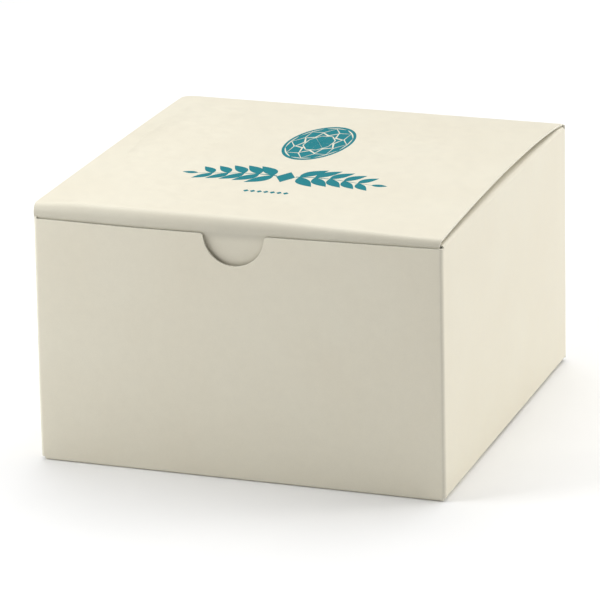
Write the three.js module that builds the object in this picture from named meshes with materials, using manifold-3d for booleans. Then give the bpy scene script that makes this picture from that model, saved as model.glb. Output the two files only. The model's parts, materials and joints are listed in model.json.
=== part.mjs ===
// Folding paperboard gift box with a hinged tuck lid and an auto-lock bottom, closed.
// Millimetres, +Z up, origin at the centre of the base. The front, with its thumb notch, faces -Y.
// The carton is one creased and glued sheet of board. It is modelled panel by panel: walls, lid,
// flaps, the creases that act as hinges, and the glue films that hold the sheet together.

import * as THREE from 'three';
import { mergeVertices } from 'three/addons/utils/BufferGeometryUtils.js';
import Module from 'manifold-3d';

const wasm = await Module();
wasm.setup();

// Driving dimensions: crease to crease, as a folding carton is drawn.
const boxWidth = 127;
const boxDepth = 127;
const boxHeight = 77.7;

// Board and clearances.
const board = 0.6;
const creaseGap = 0.3;
const stackGap = 0.2;
const glueFilm = 0.1;
const foldRadius = 1.2;
const edgeClearance = 0.5;

// Lid, tuck flap and notch.
const lidCrown = 1.8;
const lidRise = 2.6;
const lidSideInset = 0.6;
const lidCornerRadius = 3;
const tuckInset = 0.6;
const tuckLength = 20;
const tuckTilt = THREE.MathUtils.degToRad(7);
const tuckTaper = 1.5;
const tuckCornerRadius = 9;
const lidReveal = 3.8;
const notchRadius = 9.5;

// Dust flaps.
const dustLength = 52;
const dustFrontInset = 2.6;
const dustShoulder = 4;
const dustTaper = THREE.MathUtils.degToRad(33);
const dustCornerRadius = 6;

// Glued side seam.
const seamLength = 15;
const seamEndInset = 4;
const seamEndTaper = 4;
const seamGlueMargin = 2;

// Auto-lock bottom.
const minorLength = 40;
const minorTaper = 30;
const minorCornerInset = 2;
const minorCornerRadius = 4;
const majorFreeTaper = 2;
const tongueClearance = 1;
const tongueReach = 10;
const tongueRamp = 3.5;
const tongueCornerRadius = 3;
const tabDiagonal = 28;
const tabLength = 41;
const tabEndTaper = 6;
const tabCornerRadius = 2;
const tabInset = 0.8;
const tabGlueMargin = 4;

// Levels and planes that follow from the driving dimensions.
const halfBoard = board / 2;
const outerWidth = boxWidth + board;
const outerDepth = boxDepth + board;
const hingeRelief = halfBoard + creaseGap;
const sideCrease = boxWidth / 2;
const frontCrease = -boxDepth / 2;
const backCrease = boxDepth / 2;
const innerSide = sideCrease - halfBoard;
const lidLevel = halfBoard + boxHeight;
const dustLevel = lidLevel - board - creaseGap;
const tuckCrease = frontCrease + tuckInset;
const lidSpan = Math.hypot(backCrease - tuckCrease, lidRise);
const lidTilt = Math.atan2(lidRise, backCrease - tuckCrease);
const minorFloor = board + stackGap;
const majorWallFoot = board + creaseGap;
const sideWallFoot = creaseGap;
const tuckLevel = lidLevel + lidRise;
const frontWallTop = tuckLevel - lidReveal;
const backWallTop = lidLevel - hingeRelief;
const sideWallTop = dustLevel - hingeRelief;
const seamFace = backCrease - halfBoard - stackGap;
const minorCrease = innerSide - creaseGap;
const tongueSide = minorCrease - minorLength - tongueClearance;
const tongueFoot = -creaseGap - tongueRamp;
const majorSide = innerSide - edgeClearance;
const diagonalGap = creaseGap * Math.SQRT1_2;

const ivory = { color: 0xf0ead6, roughness: 0.42, metalness: 0 };
const white = { color: 0xf4f2ec, roughness: 0.8, metalness: 0 };
const glue = { color: 0xe6dfc4, roughness: 0.3, metalness: 0 };

const giftBox = new THREE.Group();

/** Adds one named piece with a material of its own. */
function addPiece(name, geometry, look, position = [0, 0, 0], rotation = [0, 0, 0]) {
  const mesh = new THREE.Mesh(geometry, new THREE.MeshStandardMaterial(look));
  mesh.name = name;
  mesh.position.set(...position);
  mesh.rotation.set(...rotation);
  giftBox.add(mesh);
}

/** Turns a closed geometry into a solid that can be cut and joined. */
function toSolid(geometry) {
  const bare = geometry.clone();
  bare.deleteAttribute('normal');
  bare.deleteAttribute('uv');
  const merged = mergeVertices(bare, 1e-5);
  return new wasm.Manifold(
    new wasm.Mesh({
      numProp: 3,
      vertProperties: new Float32Array(merged.attributes.position.array),
      triVerts: new Uint32Array(merged.index.array),
    }),
  );
}

/** Turns a solid back into a geometry. */
function toGeometry(solid) {
  const mesh = solid.getMesh();
  const geometry = new THREE.BufferGeometry();
  geometry.setAttribute('position', new THREE.BufferAttribute(mesh.vertProperties, mesh.numProp));
  geometry.setIndex(new THREE.BufferAttribute(mesh.triVerts, 1));
  geometry.computeVertexNormals();
  return geometry;
}

/** Extrudes an outline in the XY plane upwards from z = 0. */
function slab(outline, height, curveSegments = 8) {
  return new THREE.ExtrudeGeometry(outline, { depth: height, bevelEnabled: false, curveSegments });
}

/** Extrudes a profile drawn in (Y, Z) along X, from x = start to x = end. */
function alongX(profile, start, end, curveSegments = 24) {
  const geometry = slab(profile, end - start, curveSegments);
  const turn = new THREE.Matrix4().makeBasis(
    new THREE.Vector3(0, 1, 0),
    new THREE.Vector3(0, 0, 1),
    new THREE.Vector3(1, 0, 0),
  );
  return geometry.applyMatrix4(turn).translate(start, 0, 0);
}

/** A closed outline through [x, y, corner radius] points, with an arc at each rounded corner. */
function roundedOutline(points) {
  const outline = new THREE.Shape();
  const count = points.length;
  points.forEach(([x, y, radius = 0], index) => {
    const corner = new THREE.Vector2(x, y);
    const [beforeX, beforeY] = points[(index + count - 1) % count];
    const [afterX, afterY] = points[(index + 1) % count];
    const toBefore = new THREE.Vector2(beforeX, beforeY).sub(corner).normalize();
    const toAfter = new THREE.Vector2(afterX, afterY).sub(corner).normalize();
    const halfAngle = Math.acos(THREE.MathUtils.clamp(toBefore.dot(toAfter), -1, 1)) / 2;
    const setback = radius / Math.tan(halfAngle);
    const entry = corner.clone().addScaledVector(toBefore, setback);
    const exit = corner.clone().addScaledVector(toAfter, setback);
    if (index === 0) {
      outline.moveTo(entry.x, entry.y);
    } else {
      outline.lineTo(entry.x, entry.y);
    }
    if (radius > 0) {
      const centre = corner.clone().addScaledVector(
        toBefore.clone().add(toAfter).normalize(),
        radius / Math.sin(halfAngle),
      );
      const from = Math.atan2(entry.y - centre.y, entry.x - centre.x);
      const to = Math.atan2(exit.y - centre.y, exit.x - centre.x);
      const turn = Math.atan2(Math.sin(to - from), Math.cos(to - from));
      outline.absarc(centre.x, centre.y, radius, from, to, turn < 0);
    }
  });
  return outline;
}

/** The same outline points turned half a turn about the origin. */
function halfTurn(points) {
  return points.map(([x, y, radius]) => [-x, -y, radius]);
}

/** A round bead along a crease, from x = start to x = end on its own X axis. */
function creaseBead(start, end) {
  const profile = new THREE.Shape();
  profile.absarc(0, 0, halfBoard, 0, 2 * Math.PI, false);
  return alongX(profile, start, end, 12);
}

/**
 * Plan of a wall with its outer face on y = 0, from x = start to x = end. A folded end turns
 * through its half of the rounded corner fold; a cut end is square.
 */
function wallPlan(start, end, startFolds = true, endFolds = true) {
  const middleRadius = foldRadius - halfBoard;
  const sweep = Math.PI / 4 - Math.asin(creaseGap / 2 / middleRadius);
  const down = -Math.PI / 2;
  const inside = foldRadius - board;
  const plan = new THREE.Shape();
  if (endFolds) {
    plan.absarc(end - foldRadius, foldRadius, foldRadius, down, down + sweep, false);
    plan.absarc(end - foldRadius, foldRadius, inside, down + sweep, down, true);
  } else {
    plan.moveTo(end, 0);
    plan.lineTo(end, board);
  }
  if (startFolds) {
    plan.absarc(start + foldRadius, foldRadius, inside, down, down - sweep, true);
    plan.absarc(start + foldRadius, foldRadius, foldRadius, down - sweep, down, false);
  } else {
    plan.lineTo(start, board);
    plan.lineTo(start, 0);
  }
  return plan;
}

/** The four walls, folded at every corner but the back left, where the back wall ends in a cut. */
function addWalls() {
  const halfWidth = outerWidth / 2;
  const halfDepth = outerDepth / 2;
  const quarter = Math.PI / 2;

  const notch = new THREE.CylinderGeometry(notchRadius, notchRadius, 8 * board, 64);
  notch.translate(0, halfBoard, frontWallTop);
  const front = slab(wallPlan(-halfWidth, halfWidth), frontWallTop - majorWallFoot);
  front.translate(0, 0, majorWallFoot);
  const notched = toSolid(front).subtract(toSolid(notch));
  addPiece('front_wall', toGeometry(notched), ivory, [0, -halfDepth, 0]);

  const back = slab(wallPlan(-halfWidth, halfWidth, true, false), backWallTop - majorWallFoot);
  addPiece('back_wall', back, ivory, [0, halfDepth, majorWallFoot], [0, 0, 2 * quarter]);

  const right = slab(wallPlan(-halfDepth, halfDepth), sideWallTop - sideWallFoot);
  addPiece('right_wall', right, ivory, [halfWidth, 0, sideWallFoot], [0, 0, quarter]);

  const left = slab(wallPlan(-(seamFace), halfDepth), sideWallTop - sideWallFoot);
  addPiece('left_wall', left, ivory, [-halfWidth, 0, sideWallFoot], [0, 0, -quarter]);
}

/** The glue flap folded off the left wall, and the film that holds it inside the back wall. */
function addSideSeam() {
  const halfWidth = outerWidth / 2;
  const height = sideWallTop - sideWallFoot;
  const flapEnd = halfWidth - seamLength;
  const whole = slab(wallPlan(flapEnd, halfWidth, false, true), height);
  const face = roundedOutline([
    [flapEnd, seamEndInset + seamEndTaper, 1],
    [halfWidth, seamEndInset],
    [halfWidth, height - seamEndInset],
    [flapEnd, height - seamEndInset - seamEndTaper, 1],
  ]);
  const upright = slab(face, foldRadius);
  upright.rotateX(Math.PI / 2);
  upright.translate(0, foldRadius, 0);
  const flap = toSolid(whole).intersect(toSolid(upright));
  const position = [0, seamFace, sideWallFoot];
  addPiece('side_seam_flap', toGeometry(flap), white, position, [0, 0, Math.PI]);

  const filmWidth = seamLength - foldRadius - 2 * seamGlueMargin;
  const filmHeight = height - 2 * (seamEndInset + seamEndTaper + seamGlueMargin);
  const film = new THREE.BoxGeometry(filmWidth, glueFilm, filmHeight);
  const filmX = -(flapEnd + seamGlueMargin + filmWidth / 2);
  const filmY = seamFace + stackGap / 2;
  addPiece('side_seam_glue', film, glue, [filmX, filmY, sideWallFoot + height / 2]);
}

/**
 * Section of the lid in (Y, Z), with its hinge crease at the origin and its front crease at
 * y = -lidSpan: a shallow arch of constant thickness.
 */
function lidSection() {
  const chord = lidSpan - 2 * hingeRelief;
  const radius = chord ** 2 / (8 * lidCrown) + lidCrown / 2;
  const halfSweep = Math.asin(chord / 2 / radius);
  const up = Math.PI / 2;
  const centreZ = lidCrown - radius;
  const section = new THREE.Shape();
  section.absarc(-lidSpan / 2, centreZ, radius + halfBoard, up - halfSweep, up + halfSweep, false);
  section.absarc(-lidSpan / 2, centreZ, radius - halfBoard, up + halfSweep, up - halfSweep, true);
  return section;
}

/** The lid panel, raised a little at its front, and the crease that hinges it on the back wall. */
function addLid() {
  const halfLid = outerWidth / 2 - lidSideInset;
  const arch = toSolid(alongX(lidSection(), -halfLid, halfLid));
  const plan = roundedOutline([
    [-halfLid, -lidSpan],
    [halfLid, -lidSpan],
    [halfLid, -hingeRelief, lidCornerRadius],
    [-halfLid, -hingeRelief, lidCornerRadius],
  ]);
  const prism = slab(plan, 4 * lidCrown);
  prism.translate(0, 0, -2 * lidCrown);
  const position = [0, backCrease, lidLevel];
  addPiece('lid_panel', toGeometry(arch.intersect(toSolid(prism))), ivory, position, [-lidTilt, 0, 0]);

  const halfBead = halfLid - lidCornerRadius;
  addPiece('lid_crease', creaseBead(-halfBead, halfBead), ivory, position);
}

/** The flap at the lid's front, hanging inside the front wall, and the crease that carries it. */
function addTuckFlap() {
  const halfFlap = outerWidth / 2 - lidSideInset - edgeClearance;
  const outline = roundedOutline([
    [-halfFlap, hingeRelief],
    [halfFlap, hingeRelief],
    [halfFlap - tuckTaper, tuckLength, tuckCornerRadius],
    [-halfFlap + tuckTaper, tuckLength, tuckCornerRadius],
  ]);
  const flap = slab(outline, board);
  flap.translate(0, 0, -halfBoard);
  const position = [0, tuckCrease, tuckLevel];
  addPiece('tuck_flap', flap, ivory, position, [tuckTilt - Math.PI / 2, 0, 0]);
  addPiece('tuck_crease', creaseBead(-halfFlap, halfFlap), ivory, position);
}

/** Plan of the right dust flap. Its back edge leans away from the lid hinge so the lid lifts it clear. */
function dustFlapPlan() {
  const crease = sideCrease - hingeRelief;
  const tip = sideCrease - dustLength;
  const front = frontCrease + dustFrontInset;
  const back = backCrease - dustShoulder;
  const backTip = back - (crease - tip) * Math.tan(dustTaper);
  return [
    [crease, front],
    [crease, back],
    [tip, backTip, dustCornerRadius],
    [tip, front, dustCornerRadius],
  ];
}

/** Both dust flaps under the lid, with the creases on top of the side walls. */
function addDustFlaps() {
  const front = frontCrease + dustFrontInset;
  const back = backCrease - dustShoulder;
  for (const [side, sign] of [['right', 1], ['left', -1]]) {
    const outline = roundedOutline(dustFlapPlan().map(([x, y, radius]) => [sign * x, y, radius]));
    const flap = slab(outline, board);
    addPiece(`dust_flap_${side}`, flap, ivory, [0, 0, dustLevel - halfBoard]);
    const position = [sign * sideCrease, 0, dustLevel];
    addPiece(`dust_crease_${side}`, creaseBead(front, back), ivory, position, [0, 0, Math.PI / 2]);
  }
}

/** Depth (Y) of the 45-degree crease of the front left corner at a place x along the front. */
function diagonalAt(x) {
  return frontCrease + (sideCrease - majorSide) + x + majorSide;
}

/** Plan of the large front flap of the bottom, without its tongue. */
function majorPlan() {
  const outer = frontCrease - halfBoard;
  return [
    [-majorSide + diagonalGap, outer],
    [majorSide, outer],
    [majorSide, frontCrease / 2],
    [majorSide - majorFreeTaper, -creaseGap, tabCornerRadius],
    [0, -creaseGap],
    [0, tongueFoot],
    [-tongueSide, tongueFoot],
    [-tongueSide, diagonalAt(-tongueSide) - diagonalGap],
    [-majorSide + diagonalGap, diagonalAt(-majorSide)],
  ];
}

/** Section of the tongue in (Y, Z): it climbs on to the other large flap and lies on it. */
function tongueSection() {
  const section = new THREE.Shape();
  section.moveTo(tongueFoot, 0);
  section.lineTo(-creaseGap, minorFloor);
  section.lineTo(tongueReach, minorFloor);
  section.lineTo(tongueReach, minorFloor + board);
  section.lineTo(-creaseGap, minorFloor + board);
  section.lineTo(tongueFoot, board);
  return section;
}

/** One large bottom flap: a flat panel with a hooked tongue over the other large flap. */
function majorFlap() {
  const panel = toSolid(slab(roundedOutline(majorPlan()), board));
  const tongue = toSolid(alongX(tongueSection(), -tongueSide, -creaseGap));
  const tonguePlan = roundedOutline([
    [-tongueSide, frontCrease / 2],
    [-creaseGap, frontCrease / 2],
    [-creaseGap, tongueReach, tongueCornerRadius],
    [-tongueSide, tongueReach, tongueCornerRadius],
  ]);
  const shaped = tongue.intersect(toSolid(slab(tonguePlan, 4 * board)));
  return toGeometry(panel.add(shaped));
}

/**
 * Plan of the 45-degree corner of the front large flap, which is glued under the left small flap.
 * The glue film has the same plan, drawn in by a margin.
 */
function tabPlan(margin) {
  const side = -majorSide + tabInset + margin;
  const tip = -majorSide + tabDiagonal - margin;
  const back = diagonalAt(-majorSide) + tabLength - margin;
  const fromCrease = diagonalGap + margin * Math.SQRT2;
  return [
    [side, diagonalAt(side) + fromCrease],
    [tip, diagonalAt(tip) + fromCrease],
    [tip, back, tabCornerRadius],
    [side, back + tabEndTaper, tabCornerRadius],
  ];
}

/** Plan of the left small flap. */
function minorPlan() {
  const half = boxDepth / 2 - halfBoard - minorCornerInset;
  const tip = -minorCrease + minorLength;
  return [
    [-minorCrease, half],
    [-minorCrease, -half],
    [tip, -half + minorTaper, minorCornerRadius],
    [tip, half - minorTaper, minorCornerRadius],
  ];
}

/** The auto-lock bottom: two hooked large flaps below, two small flaps above, glued at two corners. */
function addBottom() {
  const half = [0, 0, Math.PI];
  addPiece('bottom_flap_front', majorFlap(), ivory);
  addPiece('bottom_flap_back', majorFlap(), ivory, [0, 0, 0], half);

  const filmLevel = board + (stackGap - glueFilm) / 2;
  const copies = [['left', 'front', (points) => points], ['right', 'back', halfTurn]];
  for (const [side, end, place] of copies) {
    const minor = slab(roundedOutline(place(minorPlan())), board);
    addPiece(`bottom_flap_${side}`, minor, ivory, [0, 0, minorFloor]);
    const tab = slab(roundedOutline(place(tabPlan(0))), board);
    addPiece(`bottom_glue_tab_${end}`, tab, ivory);
    const film = slab(roundedOutline(place(tabPlan(tabGlueMargin))), glueFilm);
    addPiece(`bottom_glue_${side}`, film, glue, [0, 0, filmLevel]);
  }
}

addWalls();
addSideSeam();
addLid();
addTuckFlap();
addDustFlaps();
addBottom();

export default giftBox;
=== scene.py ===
# Looks of the folding gift box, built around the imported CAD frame.
# Every board is a real sheet with thickness, folds and cut edges. Shapes are worked out in
# millimetres in the frame's axes and turned into metres when a mesh is made.

import json
import math

import bpy
import numpy as np
from mathutils import Matrix, Vector


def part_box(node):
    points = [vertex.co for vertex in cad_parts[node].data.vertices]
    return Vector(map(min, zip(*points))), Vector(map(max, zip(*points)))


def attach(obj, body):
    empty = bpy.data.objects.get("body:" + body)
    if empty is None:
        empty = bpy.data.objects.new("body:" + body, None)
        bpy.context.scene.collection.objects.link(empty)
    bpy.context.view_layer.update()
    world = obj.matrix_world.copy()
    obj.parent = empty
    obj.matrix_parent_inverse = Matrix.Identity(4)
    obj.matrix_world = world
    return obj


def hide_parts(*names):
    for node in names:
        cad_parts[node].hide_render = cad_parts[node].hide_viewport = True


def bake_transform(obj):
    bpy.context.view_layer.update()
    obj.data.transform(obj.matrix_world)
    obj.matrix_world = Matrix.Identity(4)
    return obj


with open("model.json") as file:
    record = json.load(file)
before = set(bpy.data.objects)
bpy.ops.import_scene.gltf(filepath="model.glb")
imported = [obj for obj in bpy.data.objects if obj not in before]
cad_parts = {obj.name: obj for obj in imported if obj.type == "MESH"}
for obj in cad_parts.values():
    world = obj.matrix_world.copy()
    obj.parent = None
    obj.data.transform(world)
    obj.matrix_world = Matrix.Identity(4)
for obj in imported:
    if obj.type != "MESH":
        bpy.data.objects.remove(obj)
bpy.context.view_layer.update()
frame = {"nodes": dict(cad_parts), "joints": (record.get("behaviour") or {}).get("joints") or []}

MM = 0.001


def node_box(node):
    """Lowest and highest corner of a CAD node, in millimetres."""
    low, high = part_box(node)
    return low / MM, high / MM


def hinge(name):
    """Place of a joint, in millimetres."""
    joint = next(j for j in frame["joints"] if j["name"] == name)
    return Vector(joint["pos_m"]) / MM


# Sizes read from the frame.
FRONT_HIGH = node_box("front_wall")[1]
RIGHT_HIGH = node_box("right_wall")[1]
SEAM_LOW, SEAM_HIGH = node_box("side_seam_flap")
LID_HIGH = node_box("lid_panel")[1]
TUCK_LOW, TUCK_HIGH = node_box("tuck_flap")
DUST_LOW, DUST_HIGH = node_box("dust_flap_right")
MINOR_LOW, MINOR_HIGH = node_box("bottom_flap_left")
MAJOR_LOW, MAJOR_HIGH = node_box("bottom_flap_front")
LID_HINGE = hinge("lid_open")
TUCK_HINGE = hinge("tuck_fold")

# The board, and the walls' plan: outer face, middle of the board, and where the corners' folds
# start. A wall that carries a flap goes on above SPLIT_HIGH or below SPLIT_LOW as part of it.
BOARD = DUST_HIGH.z - DUST_LOW.z
HALF_BOARD = BOARD / 2
HALF_OUT = RIGHT_HIGH.x
HALF_MID = HALF_OUT - HALF_BOARD
CUT_CHAMFER = 0.07
FOLD_RADIUS = 0.9
FLAT_END = HALF_MID - FOLD_RADIUS
SPLIT_HIGH = 74.0
SPLIT_LOW = 4.0
WALL_FOOT = 1.1
FOLD_STEPS = 9

# The front wall's cut edge and its thumb notch.
NOTCH_RADIUS = 9.5
NOTCH_LIP = 0.9
NOTCH_SWEEP = 80
FRONT_DROP = 0.85
FRONT_SLOPE = 0.0185
FRONT_BEND_X = -20
FRONT_BEND_SOFT = 5.0
FRONT_LEFT_LIFT = 0.25
FRONT_LEFT_X = -30

# Cut tops of the walls beside the flaps, and the lean of the front left corner.
RIGHT_TOP_FRONT = 77.6
RIGHT_TOP_BACK = 77.4
LEFT_TOP_FRONT = 76.75
LEFT_TOP_BACK = 77.2
HINGE_CORNER_DROP = 0.3
CORNER_LEAN = 1.0
CORNER_LEAN_CURVE = 1.6
SEAM_END = 3
SEAM_TAPER = 4

# The lid's upper face: low at the hinge, higher at the front where the flaps push it up.
LID_HALF = LID_HIGH.x
LID_BACK = LID_HINGE.z + HALF_BOARD
LID_FRONT = TUCK_HINGE.z + HALF_BOARD + 0.2
LID_FRONT_FALL = 1.0
LID_LEFT_FALL = 0.7
LID_LEFT_FALL_X = -50
LID_SPAN = 2 * HALF_MID - 3.3
CROWN_LEFT = 0.35
CROWN_RIGHT = 2.2
CROWN_SHAPE = 0.7
EDGE_BOW = 0.6
LID_CORNER_LEFT = 3.4
LID_CORNER_RIGHT = 0.9
HINGE_RADIUS = 0.6

# The lid's rolled front, and the tuck flap that follows it.
JOIN_Y = -56.5
ROLL_FRONT = -HALF_OUT + 0.5
ROLL_SWEEP = math.radians(110)
ROLL_STEPS = 18
ROLL_HEIGHT = 3.0
TUCK_CORNER = 9.0
TUCK_STRAIGHTENS = 3.0
TUCK_TILT = math.radians(1.8)
TUCK_TAPER = 1.5

# The dust flaps: extra width at their folds, the fold's radius and lift (in degrees), how far the
# fold sinks in its middle and at its back end, the gap under the lid, and the tip.
DUST_REACH_FRONT = 1.3
DUST_REACH_BACK = 2.6
DUST_REACH_LENGTH = 5
DUST_RADIUS_END = 0.6
DUST_RADIUS_RISE = 0.7
DUST_LIFT_END = 5
DUST_LIFT_RISE = 8
DUST_SAG = 0.4
DUST_BACK_DROP = 0.5
DUST_CLEARANCE = 0.12
DUST_CORNER = 6.0
DUST_SLOPE = math.tan(math.radians(33))
DUST_WALL_ROWS = 5
DUST_TURN_ROWS = 10

# The auto-lock bottom.
HOOK_GAP = 0.3
TONGUE_SIDE = -22.0
TONGUE_RAMP = 3.5
TONGUE_REACH = 10.0
TONGUE_CORNER = 3.0
MINOR_CORNER = 4.0
MINOR_TAPER = 30.0
MINOR_INSET = 1.4

# The coating's colours.
COATING_DARK = (0.775, 0.725, 0.59)
COATING_LIGHT = (0.79, 0.747, 0.615)


def smooth(low, high, value):
    """Smooth step from 0 at low to 1 at high."""
    t = np.clip((np.asarray(value, float) - low) / (high - low), 0, 1)
    return t * t * (3 - 2 * t)


def lid_front(x):
    """Height of the lid's upper face along its front."""
    falls_right = LID_FRONT_FALL * smooth(0, HALF_OUT, x)
    falls_left = LID_LEFT_FALL * smooth(LID_LEFT_FALL_X, -HALF_OUT, x)
    return LID_FRONT - falls_right - falls_left


def lid_top(x, y):
    """Height of the lid's upper face, arched from its hinge to its front."""
    share = np.clip((HALF_MID - HINGE_RADIUS - np.asarray(y, float)) / LID_SPAN, 0, 1)
    crown = CROWN_LEFT + (CROWN_RIGHT - CROWN_LEFT) * smooth(-HALF_OUT, HALF_OUT, x)
    rise = (lid_front(x) - LID_BACK) * share
    arch = share**CROWN_SHAPE
    return LID_BACK + rise + 4 * crown * arch * (1 - arch)


def edge_bow(y):
    """How far the lid's right edge is drawn in where the lid arches up."""
    share = np.clip(0.5 - np.asarray(y, float) / (2 * HALF_MID), 0, 1)
    return EDGE_BOW * 4 * share * (1 - share)


def lean(points):
    """The front left corner leans in a little towards its top."""
    x, y, z = points[..., 0], points[..., 1], points[..., 2]
    height = np.clip(z / LID_BACK, 0, 1.05) ** CORNER_LEAN_CURVE
    moved = points.copy()
    moved[..., 0] = x + CORNER_LEAN * height * smooth(0, -HALF_MID, x) * smooth(HALF_MID, -HALF_MID, y)
    return moved


def front_top(x):
    """Height of the front wall's cut edge, a little higher towards the right and at the left end."""
    beyond = (x - FRONT_BEND_X) / 2
    rises = FRONT_SLOPE * (beyond + np.sqrt(beyond**2 + FRONT_BEND_SOFT**2))
    left = FRONT_LEFT_LIFT * smooth(FRONT_LEFT_X, -HALF_OUT, x)
    return FRONT_HIGH.z - FRONT_DROP + rises + left


def roll_radius(x):
    """Outer radius of the lid's rolled front, which ends level with the front wall's cut edge."""
    return (lid_front(x) - front_top(x)) / (1 - math.cos(ROLL_SWEEP))


# Boards

def unit(vectors):
    length = np.linalg.norm(vectors, axis=-1, keepdims=True)
    return vectors / np.maximum(length, 1e-12)


def grid_normals(points):
    """Unit normals of a grid of points, along (next column) x (next row)."""
    across = unit(np.diff(points, axis=1))
    along = unit(np.diff(points, axis=0))
    column = np.concatenate([across[:, :1], across[:, :-1] + across[:, 1:], across[:, -1:]], 1)
    row = np.concatenate([along[:1], along[:-1] + along[1:], along[-1:]], 0)
    return unit(np.cross(unit(column), unit(row)))


def board(name, points, looks, mask=None, butt=None, crease=None, flip=False):
    """
    A sheet of board around a grid of middle points, in millimetres.
    looks are its outer, inner and cut edge materials. mask says which cells are board, butt at
    which points an edge meets another board, and crease how strongly folding has cracked a point,
    or below zero how much painted shade the point gets.
    """
    rows, columns = points.shape[:2]
    mask = np.ones((rows - 1, columns - 1), bool) if mask is None else mask
    butt = np.zeros((rows, columns), bool) if butt is None else butt
    crease = np.zeros((rows, columns)) if crease is None else crease
    normals = grid_normals(points) * (-1 if flip else 1)
    layers = {"out": (1, 1), "rim_out": (1, 0), "rim_in": (-1, 0), "in": (-1, 1)}

    def cell(i, j):
        corners = [(i, j), (i, j + 1), (i + 1, j + 1), (i + 1, j)]
        return corners[::-1] if flip else corners

    edges = set()
    for i, j in zip(*np.nonzero(mask)):
        corners = cell(i, j)
        for a, b in zip(corners, corners[1:] + corners[:1]):
            if (b, a) in edges:
                edges.discard((b, a))
            else:
                edges.add((a, b))
    inward = {}
    for a, b in sorted(edges):
        for p in (a, b):
            direction = unit(points[b] - points[a])
            inward.setdefault(p, []).append(np.cross(normals[p], direction))

    vertices, folded, rest, index = [], [], [], {}

    def vertex(p, layer):
        key = (p, layer)
        if key in index:
            return index[key]
        height, inset = layers[layer]
        place = points[p] + normals[p] * HALF_BOARD * height
        if p in inward:
            sides = inward[p]
            mitre = sides[0]
            if len(sides) > 1:
                mitre = sum(sides) / (1 + float(np.dot(sides[0], sides[-1])))
            if butt[p]:
                key = (p, "out" if height > 0 else "in")
                if key in index:
                    return index[key]
            elif inset:
                place = place + mitre * CUT_CHAMFER
            else:
                place = place - normals[p] * CUT_CHAMFER * height
        index[key] = len(vertices)
        vertices.append(place)
        folded.append(crease[p])
        rest.append(points[p])
        return index[key]

    faces, slots = [], []

    def face(corners, slot):
        ring = [c for k, c in enumerate(corners) if c != corners[k - 1]]
        if len(set(ring)) >= 3:
            faces.append(ring)
            slots.append(slot)

    for i, j in zip(*np.nonzero(mask)):
        corners = cell(i, j)
        face([vertex(c, "out") for c in corners], 0)
        face([vertex(c, "in") for c in reversed(corners)], 1)
    for a, b in sorted(edges):
        for upper, lower in (("out", "rim_out"), ("rim_out", "rim_in"), ("rim_in", "in")):
            face([vertex(b, upper), vertex(a, upper), vertex(a, lower), vertex(b, lower)], 2)

    mesh = bpy.data.meshes.new(name)
    mesh.from_pydata([tuple(v * MM) for v in vertices], [], faces)
    for look in looks:
        mesh.materials.append(look)
    mesh.polygons.foreach_set("material_index", slots)
    mesh.polygons.foreach_set("use_smooth", [s < 2 for s in slots])
    folds = np.array(folded, np.float32)
    mesh.attributes.new("folded", "FLOAT", "POINT").data.foreach_set("value", folds)
    places = (np.array(rest) * MM).astype(np.float32).ravel()
    mesh.attributes.new("rest", "FLOAT_VECTOR", "POINT").data.foreach_set("vector", places)
    surface, rim = set(), set()
    for ring, slot in zip(faces, slots):
        pairs = {frozenset(pair) for pair in zip(ring, ring[1:] + ring[:1])}
        (rim if slot == 2 else surface).update(pairs)
    border = surface & rim
    mesh.edges.foreach_set("use_edge_sharp", [frozenset(e.vertices) in border for e in mesh.edges])
    mesh.validate()
    mesh.update()
    piece = bpy.data.objects.new(name, mesh)
    bpy.context.scene.collection.objects.link(piece)
    return piece


def rounded_limit(distance, length, radius, edge, slope):
    """
    Half width of a flap at a distance from its crease. Its side runs from edge inwards by slope
    for each unit of distance, and turns into the tip at length with a corner radius.
    """
    d = np.asarray(distance, float)
    stretch = math.hypot(1, slope)
    centre_d = length - radius
    centre_y = edge - slope * centre_d - radius * stretch
    tangent = centre_d + radius * slope / stretch
    side = edge - slope * d
    arc = centre_y + np.sqrt(np.maximum(radius**2 - (d - centre_d) ** 2, 0))
    return np.where(d < tangent, side, arc)


def tip_rows(length, radius, coarse):
    """Distances along a flap, even at first and closer together round the tip's corners."""
    straight = np.linspace(0, length - radius, coarse)
    turn = np.linspace(0, math.pi / 2, FOLD_STEPS + 1)[1:]
    return np.concatenate([straight, length - radius + radius * np.sin(turn)])


# Materials

def new_material(name):
    material = bpy.data.materials.new(name)
    material.use_nodes = True
    nodes = material.node_tree.nodes
    return material, nodes, material.node_tree.links, nodes["Principled BSDF"]


def noise(nodes, links, place, scale, detail=4.0, rough=0.55, stretch=(1, 1, 1)):
    """A noise texture, about zero to one, with its scale in waves for each millimetre."""
    mapping = nodes.new("ShaderNodeMapping")
    mapping.inputs["Scale"].default_value = [s / MM for s in stretch]
    links.new(place, mapping.inputs["Vector"])
    texture = nodes.new("ShaderNodeTexNoise")
    texture.inputs["Scale"].default_value = scale
    texture.inputs["Detail"].default_value = detail
    texture.inputs["Roughness"].default_value = rough
    links.new(mapping.outputs["Vector"], texture.inputs["Vector"])
    return texture.outputs["Fac"]


def ramp(nodes, links, value, low, high, dark, light):
    """Maps a value between two stops to a colour between dark and light."""
    node = nodes.new("ShaderNodeValToRGB")
    node.color_ramp.elements[0].position = low
    node.color_ramp.elements[1].position = high
    node.color_ramp.elements[0].color = (*dark, 1)
    node.color_ramp.elements[1].color = (*light, 1)
    links.new(value, node.inputs["Fac"])
    return node.outputs["Color"]


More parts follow.
